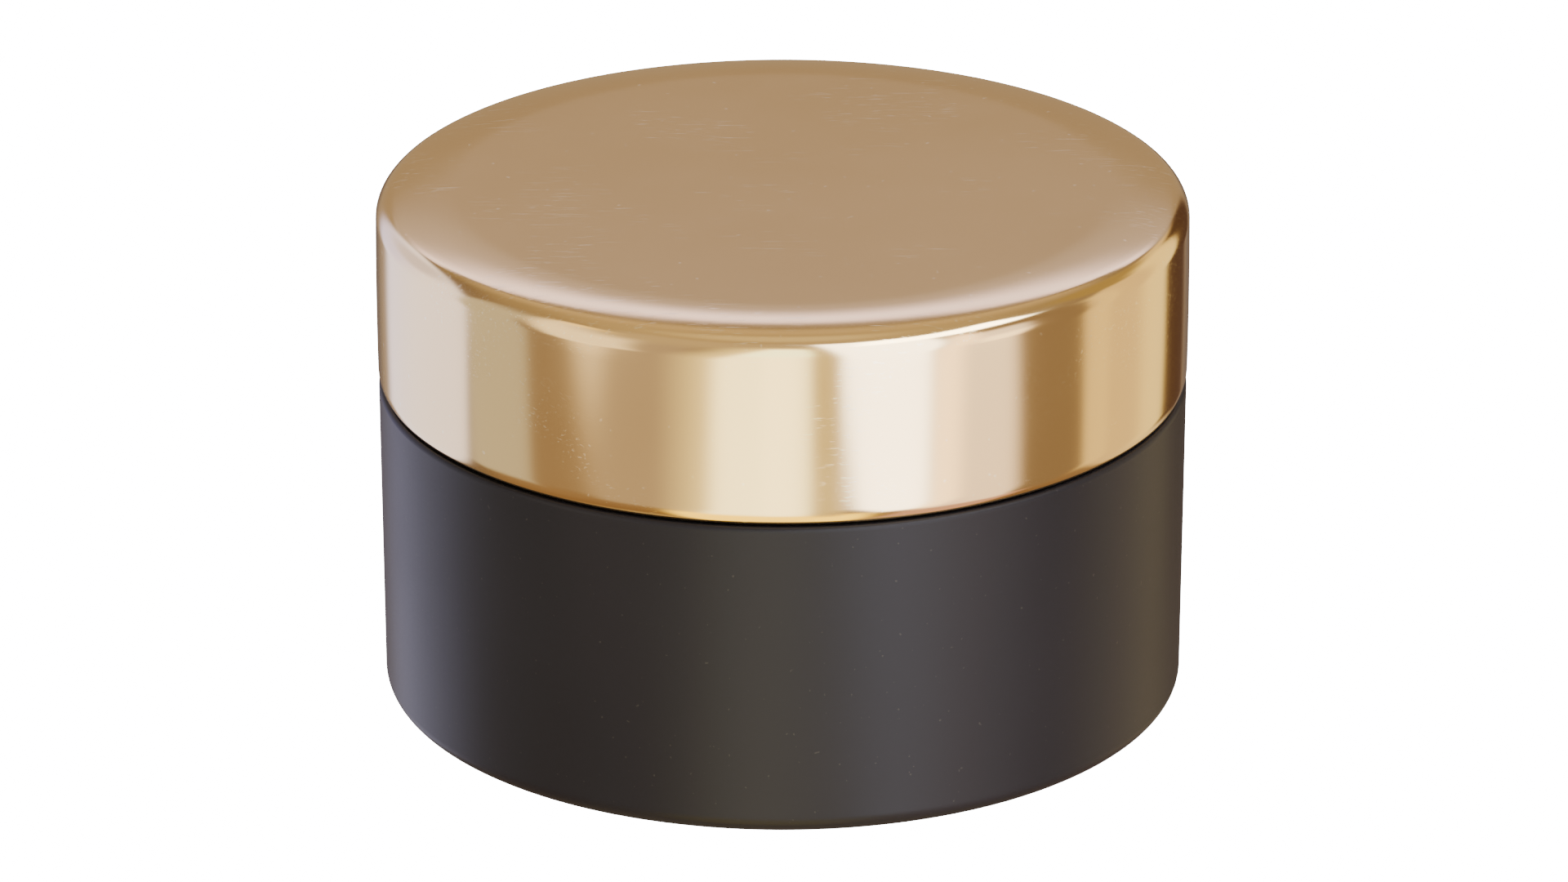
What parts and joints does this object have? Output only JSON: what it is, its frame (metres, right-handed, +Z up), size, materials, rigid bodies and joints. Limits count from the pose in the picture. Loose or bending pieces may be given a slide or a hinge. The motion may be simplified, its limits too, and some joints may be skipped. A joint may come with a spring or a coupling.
{
  "type": "cosmetic cream jar",
  "caption": "Low round double-wall cream jar with a matt dark body, a screw lid in a gold metal over-shell, a threaded inner cup and a loose sealing disc.",
  "frame": {"origin": "centre of the foot ring, on the surface the jar stands on", "axes": "+Z up along the jar's axis of revolution, towards the lid; +X and +Y are free, because the outside is round"},
  "size_m": [0.064, 0.064, 0.0416],
  "materials": {
    "jar_body": "matt dark brown-black lacquer",
    "gold_metal": "satin champagne-gold anodised",
    "white_plastic": "moulded white polypropylene",
    "dark_plastic": "moulded black plastic",
    "weight_steel": "plated blanked steel",
    "foam": "closed-cell white foam sheet"
  },
  "bodies": {
    "jar": {"outer_jar": "jar_body", "inner_cup": "white_plastic"},
    "seal": {"seal_disc": "white_plastic"},
    "liner": {"foam_liner": "foam"},
    "lid": {"lid_shell": "gold_metal", "lid_core": "dark_plastic", "lid_weight": "weight_steel", "thread_insert": "white_plastic"}
  },
  "joints": [
    {"name": "seal_lift", "type": "slide", "parent": "jar", "child": "seal", "axis": [0, 0, 1], "range_m": [0, 0.018]},
    {"name": "lid_rise", "type": "slide", "parent": "jar", "child": "liner", "axis": [0, 0, 1], "range_m": [0, 0.036]},
    {"name": "lid_turn", "type": "hinge", "parent": "liner", "child": "lid", "pos_m": [0, 0, 0.0259], "axis": [0, 0, 1], "range_deg": [0, 1440]}
  ],
  "couplings": [
    {"joint": "lid_rise", "follows": "lid_turn", "m_per_rad": 0.0014324},
    {"joint": "seal_lift", "follows": "lid_turn", "m_per_rad": 0.0007162}
  ]
}
